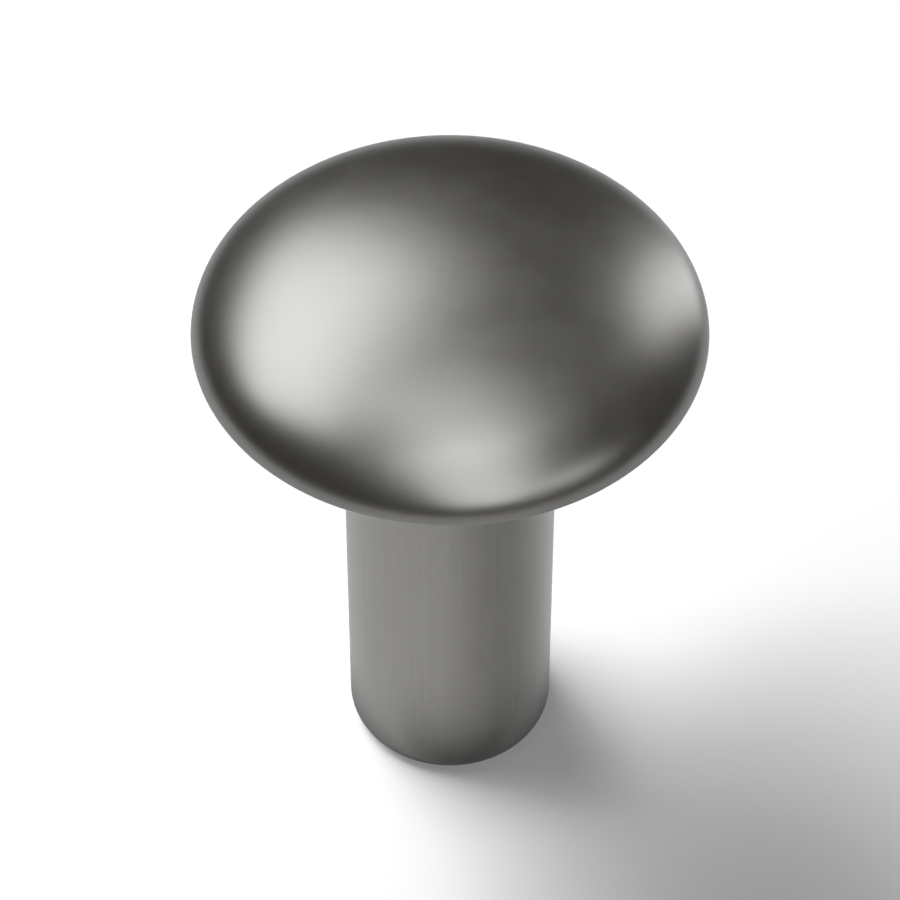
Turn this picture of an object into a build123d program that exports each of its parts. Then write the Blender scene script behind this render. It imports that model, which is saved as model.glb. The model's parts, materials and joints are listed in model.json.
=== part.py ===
"""Raised countersunk rivet: one solid turned about +Z, standing on the flat end of its shank.

Sizes are in millimetres and degrees. The origin is the centre of the shank's end.
"""

import os
from math import radians, tan

from build123d import *

# Driving dimensions
shank_diameter = 6.0
rivet_length = 16.3  # from the shank's end to the rim of the head
head_diameter = 14.15
seat_angle = 90.0  # the whole angle of the cone under the head
crown_height = 2.5  # the raised crown, from the rim to its top
rim_rounding = 0.1  # where the crown turns under into the seat
throat_rounding = 0.3  # where the seat runs into the shank
end_rounding = 0.57  # the edge of the shank's end

# Worked out from the driving dimensions
shank_radius = shank_diameter / 2
head_radius = head_diameter / 2
seat_depth = (head_radius - shank_radius) / tan(radians(seat_angle / 2))
seat_bottom = rivet_length - seat_depth

with BuildPart() as rivet:
    with BuildSketch(Plane.XZ):
        with BuildLine():
            # A quarter ellipse is flat on the axis and upright at the rim.
            crown = EllipticalCenterArc((0, rivet_length), head_radius, crown_height, 0, arc_size=90)
            Polyline(crown @ 0, (shank_radius, seat_bottom), (shank_radius, 0), (0, 0), crown @ 1)
        make_face()
    revolve(axis=Axis.Z)

    end_edge, throat_edge, rim_edge = rivet.edges().filter_by(GeomType.CIRCLE).sort_by(Axis.Z)
    fillet(end_edge, end_rounding)
    fillet(throat_edge, throat_rounding)
    fillet(rim_edge, rim_rounding)

rivet.part.label = "rivet"

os.makedirs("parts", exist_ok=True)
export_step(rivet.part, "parts/rivet.step")
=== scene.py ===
import json
import math

import bpy
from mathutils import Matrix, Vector


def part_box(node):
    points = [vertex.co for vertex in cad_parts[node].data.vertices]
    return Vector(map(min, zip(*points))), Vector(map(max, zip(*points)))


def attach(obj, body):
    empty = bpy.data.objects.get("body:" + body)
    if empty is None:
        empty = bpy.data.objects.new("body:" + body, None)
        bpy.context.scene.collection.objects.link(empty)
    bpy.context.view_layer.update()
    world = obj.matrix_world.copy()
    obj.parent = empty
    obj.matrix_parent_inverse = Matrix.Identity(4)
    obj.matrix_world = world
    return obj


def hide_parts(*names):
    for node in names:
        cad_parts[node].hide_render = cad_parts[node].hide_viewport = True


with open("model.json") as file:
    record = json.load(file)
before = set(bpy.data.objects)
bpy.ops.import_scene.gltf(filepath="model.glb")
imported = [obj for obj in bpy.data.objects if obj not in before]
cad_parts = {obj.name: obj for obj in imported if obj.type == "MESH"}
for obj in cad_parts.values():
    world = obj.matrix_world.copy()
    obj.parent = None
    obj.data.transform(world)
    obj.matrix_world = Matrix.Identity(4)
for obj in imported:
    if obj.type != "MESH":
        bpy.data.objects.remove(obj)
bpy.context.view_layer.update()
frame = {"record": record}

# The rivet's sizes, in metres. Those that the frame holds are read from it.
lowest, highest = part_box("rivet")
mounts = {mount["name"]: mount for mount in frame["record"]["mounts"]}
HEAD_RADIUS = (highest[0] - lowest[0]) / 2
TOP_HEIGHT = highest[2]
RIM_HEIGHT = mounts["countersunk_seat"]["pos_m"][2]
SHANK_RADIUS = mounts["shank"]["dims"]["r_mm"] / 1000
CROWN_HEIGHT = TOP_HEIGHT - RIM_HEIGHT
SEAT_HALF_ANGLE = math.radians(45)  # between the axis and the cone under the head
THROAT_HEIGHT = RIM_HEIGHT - (HEAD_RADIUS - SHANK_RADIUS) / math.tan(SEAT_HALF_ANGLE)
RIM_ROUNDING = 0.0001
THROAT_ROUNDING = 0.0003
END_ROUNDING = 0.00057

# How finely the turned surface is divided, round the axis and along the outline.
SIDES = 192
END_STEPS = 14
SHANK_STEPS = 24
THROAT_STEPS = 6
SEAT_STEPS = 10
RIM_STEPS = 6
CROWN_STEPS = 64

# The steel is a dark, slightly warm grey.
STEEL_COLOUR = (0.3055, 0.300, 0.291)
STEEL_ROUGHNESS = 0.35

# Most values of a noise lie between the low and the high one.
NOISE_LOW, NOISE_MIDDLE, NOISE_HIGH = 0.25, 0.5, 0.75

# The steel's surface: sizes of its features in metres, and how much they change its tone and roughness.
CLOUD_SIZE = 0.0011
CLOUD_TONE = 0.025
CLOUD_ROUGHNESS = 0.015
GRAIN_SIZE = 0.00007
GRAIN_TONE = 0.015
GRAIN_ROUGHNESS = 0.015
DRAW_MARK_WIDTH = 0.00011
DRAW_MARK_STRETCH = 80
DRAW_MARK_FADE = 0.0006
DRAW_MARK_TONE = 0.15
RELIEF_DEPTH = 0.0000004

# Camera, in metres and degrees: it looks down on the rivet's head from the front.
CAMERA_AZIMUTH = -90
CAMERA_ELEVATION = 48.8
CAMERA_DISTANCE = 0.1112
CAMERA_AIM_HEIGHT = 0.01124
CAMERA_LENS_MM = 157.4
CAMERA_SENSOR_MM = 36
CAMERA_CLIP_START = 0.001

# Light.
LIGHT_DISTANCE = 0.5
SOFTBOX_COLOUR = (0.992, 1.0, 1.012)
STUDIO_COLOUR = (0.0546, 0.0504, 0.0445)
WHITE = (1, 1, 1)

# Floor, in metres. The camera sees it fade into the backdrop between two radii.
FLOOR_RADIUS = 0.092
FLOOR_SIDES = 128
FLOOR_COLOUR = (0.8, 0.8, 0.8)
FLOOR_GLOW = 0.175
FLOOR_GLOW_COLOUR = (0.995, 1.0, 1.018)
FLOOR_FADE = (0.030, 0.060)

# Painted reflection: what the steel shows of the floor is partly a plain glow that only reflections see,
# which turns to painted shade far from the rivet. Next to the shank it is painted dark too and takes a
# greater share, a painted shade that makes the shank's end dark: in a narrow ring all round the shank,
# and in a wider one in front of it, towards the given azimuth.
# Each pair holds two distances from the axis, and the change lies between them.
PAINTED_FILL = 0.56
PAINTED_FILL_SHARE = 0.38
PAINTED_FILL_END = (0.014, 0.020)
# Painted shade next to the shank, which only the steel's reflection of the floor shows.
PAINTED_SHADE_SHARE = 0.46
NARROW_RING = (0.0030, 0.0046)
NARROW_RING_STRENGTH = 0.80
WIDE_RING = (0.0031, 0.0062)
WIDE_RING_AZIMUTH = -83
WIDE_RING_START = (0.0022, 0.0036)


def direction(azimuth, elevation):
    """Unit vector to a point round the rivet: azimuth 0 is +X, 90 is +Y, in degrees."""
    around, up = math.radians(azimuth), math.radians(elevation)
    return Vector((math.cos(up) * math.cos(around), math.cos(up) * math.sin(around), math.sin(up)))


def add(name, data):
    """Adds an object to the scene."""
    made = bpy.data.objects.new(name, data)
    bpy.context.scene.collection.objects.link(made)
    return made


def face(item, aim):
    """Turns a camera or a light to a point."""
    item.rotation_euler = (aim - item.location).to_track_quat("-Z", "Y").to_euler()


def make_camera():
    camera = add("camera", bpy.data.cameras.new("camera"))
    camera.data.sensor_width = CAMERA_SENSOR_MM
    camera.data.lens = CAMERA_LENS_MM
    camera.data.clip_start = CAMERA_CLIP_START
    aim = Vector((0, 0, CAMERA_AIM_HEIGHT))
    camera.location = aim + CAMERA_DISTANCE * direction(CAMERA_AZIMUTH, CAMERA_ELEVATION)
    face(camera, aim)
    bpy.context.scene.camera = camera


def make_softbox(name, azimuth, elevation, half_width, half_height, roll, radiance, on_floor=False):
    """A rectangular light that faces the rivet, for the steel alone or for the floor alone.

    Its half width and half height are the angles that they fill, seen from the rivet.
    """
    light = bpy.data.lights.new(name, "AREA")
    light.shape = "RECTANGLE"
    light.size = 2 * LIGHT_DISTANCE * math.tan(math.radians(half_width))
    light.size_y = 2 * LIGHT_DISTANCE * math.tan(math.radians(half_height))
    light.energy = radiance * math.pi * light.size * light.size_y
    light.color = WHITE if on_floor else SOFTBOX_COLOUR
    box = add(name, light)
    box.location = LIGHT_DISTANCE * direction(azimuth, elevation)
    face(box, Vector())
    box.rotation_euler.rotate_axis("Z", math.radians(roll))
    box.visible_camera = False
    box.visible_glossy = not on_floor
    box.visible_diffuse = on_floor


def make_steel_lights():
    make_softbox("key_box", azimuth=137.4, elevation=50.3, half_width=26.7, half_height=16.4,
                 roll=13.0, radiance=3.04)
    make_softbox("front_box", azimuth=-76.9, elevation=49.3, half_width=15.7, half_height=32.7,
                 roll=5.1, radiance=2.13)
    make_softbox("top_box", azimuth=-145.7, elevation=91.5, half_width=11.4, half_height=16.3,
                 roll=-92.3, radiance=1.74)
    make_softbox("corner_box", azimuth=-39.3, elevation=28.6, half_width=9.2, half_height=10.7,
                 roll=99.5, radiance=1.44)
    make_softbox("side_strip", azimuth=47.1, elevation=10.7, half_width=8.8, half_height=29.5,
                 roll=2.8, radiance=2.43)


def make_floor_lights():
    make_softbox("floor_key", azimuth=142.5, elevation=54.4, half_width=14.7, half_height=2.8,
                 roll=0, radiance=27.7, on_floor=True)
    make_softbox("floor_key_side", azimuth=138.6, elevation=52.9, half_width=20.9, half_height=5.1,
                 roll=6.9, radiance=10.26, on_floor=True)
    make_softbox("floor_key_halo", azimuth=144.8, elevation=54.0, half_width=30.7, half_height=5.3,
                 roll=-8.5, radiance=7.02, on_floor=True)


def node(tree, kind, **settings):
    """Adds a shader node and sets its properties."""
    made = tree.nodes.new(kind)
    for name, value in settings.items():
        setattr(made, name, value)
    return made


def math_node(tree, operation, first, second):
    """Works out a value from two, each a socket or a number."""
    made = node(tree, "ShaderNodeMath", operation=operation)
    for socket, value in zip(made.inputs, (first, second)):
        if isinstance(value, (int, float)):
            socket.default_value = value
        else:
            tree.links.new(value, socket)
    return made.outputs["Value"]


def ramp(tree, value, start, end):
    """A smooth step from 0 at start to 1 at end."""
    made = node(tree, "ShaderNodeMapRange", interpolation_type="SMOOTHSTEP")
    made.inputs["From Min"].default_value = start
    made.inputs["From Max"].default_value = end
    tree.links.new(value, made.inputs["Value"])
    return made.outputs["Result"]


def mixed(tree, share, first, second):
    """Mixes two shaders. The share is the second one's."""
    made = node(tree, "ShaderNodeMixShader")
    for socket, value in zip(made.inputs, (share, first, second)):
        tree.links.new(value, socket)
    return made.outputs["Shader"]


def is_ray(tree, kind):
    """1 where the ray has that kind, such as Camera, and 0 elsewhere."""
    return node(tree, "ShaderNodeLightPath").outputs[f"Is {kind} Ray"]


def make_world():
    """A dim studio around the rivet, and a white backdrop behind it."""
    world = bpy.data.worlds.new("studio")
    bpy.context.scene.world = world
    world.use_nodes = True
    tree = world.node_tree
    tree.nodes.clear()
    studio = node(tree, "ShaderNodeBackground")
    studio.inputs["Color"].default_value = (*STUDIO_COLOUR, 1)
    backdrop = node(tree, "ShaderNodeBackground")
    backdrop.inputs["Color"].default_value = (*WHITE, 1)
    seen = mixed(tree, is_ray(tree, "Camera"),
                 studio.outputs["Background"], backdrop.outputs["Background"])
    tree.links.new(seen, node(tree, "ShaderNodeOutputWorld").inputs["Surface"])


def painted_shade_next_to_shank(tree, position, radius):
    """Mask of painted shade: 1 on the floor next to the shank and 0 away from it."""
    narrow = ramp(tree, radius, NARROW_RING[1], NARROW_RING[0])
    narrow = math_node(tree, "MULTIPLY", narrow, NARROW_RING_STRENGTH)
    forward = node(tree, "ShaderNodeVectorMath", operation="DOT_PRODUCT")
    tree.links.new(position, forward.inputs[0])
    forward.inputs[1].default_value = direction(WIDE_RING_AZIMUTH, 0)
    wide = ramp(tree, radius, WIDE_RING[1], WIDE_RING[0])
    wide = math_node(tree, "MULTIPLY", wide, ramp(tree, forward.outputs["Value"], *WIDE_RING_START))
    return math_node(tree, "MAXIMUM", wide, narrow)


def make_floor_material():
    """A matt pale floor with a slight glow, and a fade into the backdrop for the camera.

    The steel shows it as a painted reflection, a little flatter than it is, and with painted shade next to
    the shank and far off.
    """
    material = bpy.data.materials.new("floor")
    material.use_nodes = True
    tree = material.node_tree
    shader = tree.nodes["Principled BSDF"]
    shader.inputs["Base Color"].default_value = (*FLOOR_COLOUR, 1)
    shader.inputs["Roughness"].default_value = 1.0
    shader.inputs["Specular IOR Level"].default_value = 0.0
    shader.inputs["Emission Color"].default_value = (*FLOOR_GLOW_COLOUR, 1)
    shader.inputs["Emission Strength"].default_value = FLOOR_GLOW

    position = node(tree, "ShaderNodeNewGeometry").outputs["Position"]
    length = node(tree, "ShaderNodeVectorMath", operation="LENGTH")
    tree.links.new(position, length.inputs[0])
    radius = length.outputs["Value"]

    # What the steel shows: a painted reflection of the floor, with painted shade next to the shank and far
    # off.
    painted_shade_mask = painted_shade_next_to_shank(tree, position, radius)
    clear = math_node(tree, "SUBTRACT", 1, painted_shade_mask)
    # A glow that only reflections see: the painted reflection of the floor.
    painted_fill = node(tree, "ShaderNodeEmission")
    painted_fill.inputs["Strength"].default_value = PAINTED_FILL
    not_far = ramp(tree, radius, PAINTED_FILL_END[1], PAINTED_FILL_END[0])
    tree.links.new(math_node(tree, "MULTIPLY", not_far, clear), painted_fill.inputs["Color"])
    share = math_node(tree, "ADD", math_node(tree, "MULTIPLY", painted_shade_mask, PAINTED_SHADE_SHARE), PAINTED_FILL_SHARE)
    share = math_node(tree, "MULTIPLY", is_ray(tree, "Glossy"), share)
    surface = mixed(tree, share, shader.outputs["BSDF"], painted_fill.outputs["Emission"])

    # What the camera shows.
    white = node(tree, "ShaderNodeEmission")
    faded = math_node(tree, "MULTIPLY", is_ray(tree, "Camera"), ramp(tree, radius, *FLOOR_FADE))
    surface = mixed(tree, faded, surface, white.outputs["Emission"])
    tree.links.new(surface, tree.nodes["Material Output"].inputs["Surface"])
    return material


def make_floor():
    mesh = bpy.data.meshes.new("floor")
    turns = [2 * math.pi * i / FLOOR_SIDES for i in range(FLOOR_SIDES)]
    rim = [(FLOOR_RADIUS * math.cos(turn), FLOOR_RADIUS * math.sin(turn), 0) for turn in turns]
    mesh.from_pydata(rim, [], [tuple(range(FLOOR_SIDES))])
    mesh.materials.append(make_floor_material())
    add("floor", mesh)


def noise(tree, position, size, detail, stretch=1):
    """Noise from 0 to 1 on the steel, in features of the given size, drawn out along Z."""
    mapping = node(tree, "ShaderNodeMapping")
    mapping.inputs["Scale"].default_value = (1, 1, 1 / stretch)
    texture = node(tree, "ShaderNodeTexNoise")
    texture.inputs["Scale"].default_value = 1 / size
    texture.inputs["Detail"].default_value = detail
    tree.links.new(position, mapping.inputs["Vector"])
    tree.links.new(mapping.outputs["Vector"], texture.inputs["Vector"])
    return texture.outputs["Fac"]


def vary(tree, value, middle, amount):
    """Turns a noise into a value that strays from the middle one by up to the amount."""
    made = node(tree, "ShaderNodeMapRange")
    made.inputs["From Min"].default_value = NOISE_LOW
    made.inputs["From Max"].default_value = NOISE_HIGH
    made.inputs["To Min"].default_value = middle - amount
    made.inputs["To Max"].default_value = middle + amount
    tree.links.new(value, made.inputs["Value"])
    return made.outputs["Result"]


def make_steel():
    """Satin steel: a fine even grain, a faint cloudy tone, and drawing marks along the shank."""
    material = bpy.data.materials.new("satin_steel")
    material.use_nodes = True
    tree = material.node_tree
    shader = tree.nodes["Principled BSDF"]
    shader.inputs["Metallic"].default_value = 1.0
    position = node(tree, "ShaderNodeTexCoord").outputs["Object"]

    clouds = noise(tree, position, CLOUD_SIZE, detail=3)
    grain = noise(tree, position, GRAIN_SIZE, detail=2)
    draw_marks = noise(tree, position, DRAW_MARK_WIDTH, detail=3, stretch=DRAW_MARK_STRETCH)

    # The drawing marks are on the shank alone. They fade out where the seat begins.
    place = node(tree, "ShaderNodeSeparateXYZ")
    tree.links.new(position, place.inputs["Vector"])
    on_shank = ramp(tree, place.outputs["Z"], THROAT_HEIGHT, THROAT_HEIGHT - DRAW_MARK_FADE)

    drawn = math_node(tree, "MULTIPLY", math_node(tree, "SUBTRACT", draw_marks, NOISE_MIDDLE), on_shank)
    tone = math_node(tree, "MULTIPLY", vary(tree, clouds, 1, CLOUD_TONE), vary(tree, grain, 1, GRAIN_TONE))
    tone = math_node(tree, "ADD", tone, math_node(tree, "MULTIPLY", drawn, DRAW_MARK_TONE))
    colour = node(tree, "ShaderNodeVectorMath", operation="SCALE")
    colour.inputs[0].default_value = STEEL_COLOUR
    tree.links.new(tone, colour.inputs["Scale"])
    tree.links.new(colour.outputs["Vector"], shader.inputs["Base Color"])

    roughness = vary(tree, clouds, STEEL_ROUGHNESS, CLOUD_ROUGHNESS)
    roughness = math_node(tree, "ADD", roughness, vary(tree, grain, 0, GRAIN_ROUGHNESS))
    tree.links.new(roughness, shader.inputs["Roughness"])

    bump = node(tree, "ShaderNodeBump")
    bump.inputs["Strength"].default_value = 1.0
    bump.inputs["Distance"].default_value = RELIEF_DEPTH
    shank_marks = math_node(tree, "MULTIPLY", draw_marks, on_shank)
    tree.links.new(math_node(tree, "ADD", grain, shank_marks), bump.inputs["Height"])
    tree.links.new(bump.outputs["Normal"], shader.inputs["Normal"])
    return material


def rivet_outline():
    """The rivet's outline from the shank's end to near the crown's top.

    Each point is a radius, a height and the angle of the surface's outward normal, where 0 is
    level and a quarter turn is straight up.
    """
    points = []
    quarter = math.pi / 2

    def arc(radius, height, rounding, start, end, steps):
        """Points on a rounding about a centre. A hollow one has a negative rounding."""
        for step in range(steps):
            angle = start + (end - start) * step / steps
            points.append((radius + rounding * math.cos(angle), height + rounding * math.sin(angle), angle))

    def straight(start, end, angle, steps):
        for step in range(steps):
            radius, height = Vector(start).lerp(Vector(end), step / steps)
            points.append((radius, height, angle))

    throat_setback = THROAT_ROUNDING * math.tan(SEAT_HALF_ANGLE / 2)
    rim_setback = RIM_ROUNDING * math.tan(SEAT_HALF_ANGLE / 2)
    along_seat = Vector((math.sin(SEAT_HALF_ANGLE), math.cos(SEAT_HALF_ANGLE)))
    shank_top = (SHANK_RADIUS, THROAT_HEIGHT - throat_setback)
    seat_start = Vector((SHANK_RADIUS, THROAT_HEIGHT)) + throat_setback * along_seat
    seat_end = Vector((HEAD_RADIUS, RIM_HEIGHT)) - rim_setback * along_seat

    arc(SHANK_RADIUS - END_ROUNDING, END_ROUNDING, END_ROUNDING, -quarter, 0, END_STEPS)
    straight((SHANK_RADIUS, END_ROUNDING), shank_top, 0, SHANK_STEPS)
    arc(SHANK_RADIUS + THROAT_ROUNDING, shank_top[1], -THROAT_ROUNDING, 0, -SEAT_HALF_ANGLE, THROAT_STEPS)
    straight(seat_start, seat_end, -SEAT_HALF_ANGLE, SEAT_STEPS)
    arc(HEAD_RADIUS - RIM_ROUNDING, RIM_HEIGHT + rim_setback, RIM_ROUNDING, -SEAT_HALF_ANGLE, 0, RIM_STEPS)

    # The crown is a quarter ellipse. It starts where the rim's rounding ends.
    crown_start = math.asin(rim_setback / CROWN_HEIGHT)
    for step in range(CROWN_STEPS):
        turn = crown_start + (quarter - crown_start) * step / CROWN_STEPS
        across, up = math.cos(turn), math.sin(turn)
        normal = math.atan2(up / CROWN_HEIGHT, across / HEAD_RADIUS)
        points.append((HEAD_RADIUS * across, RIM_HEIGHT + CROWN_HEIGHT * up, normal))
    return points


def make_rivet():
    """The rivet as one smooth turned mesh, in place of the CAD node's coarser one."""
    outline = rivet_outline()
    turns = [2 * math.pi * i / SIDES for i in range(SIDES)]
    vertices, normals, faces = [], [], []
    for radius, height, tilt in outline:
        level, up = math.cos(tilt), math.sin(tilt)
        for turn in turns:
            vertices.append((radius * math.cos(turn), radius * math.sin(turn), height))
            normals.append((level * math.cos(turn), level * math.sin(turn), up))
    for ring in range(len(outline) - 1):
        below, above = ring * SIDES, (ring + 1) * SIDES
        for i in range(SIDES):
            following = (i + 1) % SIDES
            faces.append((below + i, below + following, above + following, above + i))
    # The shank's end is one flat face, and the crown closes at a point.
    faces.append(tuple(reversed(range(SIDES))))
    last_ring, pole = (len(outline) - 1) * SIDES, len(vertices)
    vertices.append((0, 0, TOP_HEIGHT))
    normals.append((0, 0, 1))
    for i in range(SIDES):
        faces.append((last_ring + i, last_ring + (i + 1) % SIDES, pole))

    mesh = bpy.data.meshes.new("turned_rivet")
    mesh.from_pydata(vertices, [], faces)
    mesh.polygons.foreach_set("use_smooth", [True] * len(faces))
    mesh.normals_split_custom_set_from_vertices(normals)
    mesh.materials.append(make_steel())
    rivet = add("turned_rivet", mesh)
    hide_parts("rivet")
    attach(rivet, "root")


make_camera()
make_world()
make_steel_lights()
make_floor_lights()
make_floor()
make_rivet()
bpy.context.scene.view_settings.view_transform = "Standard"
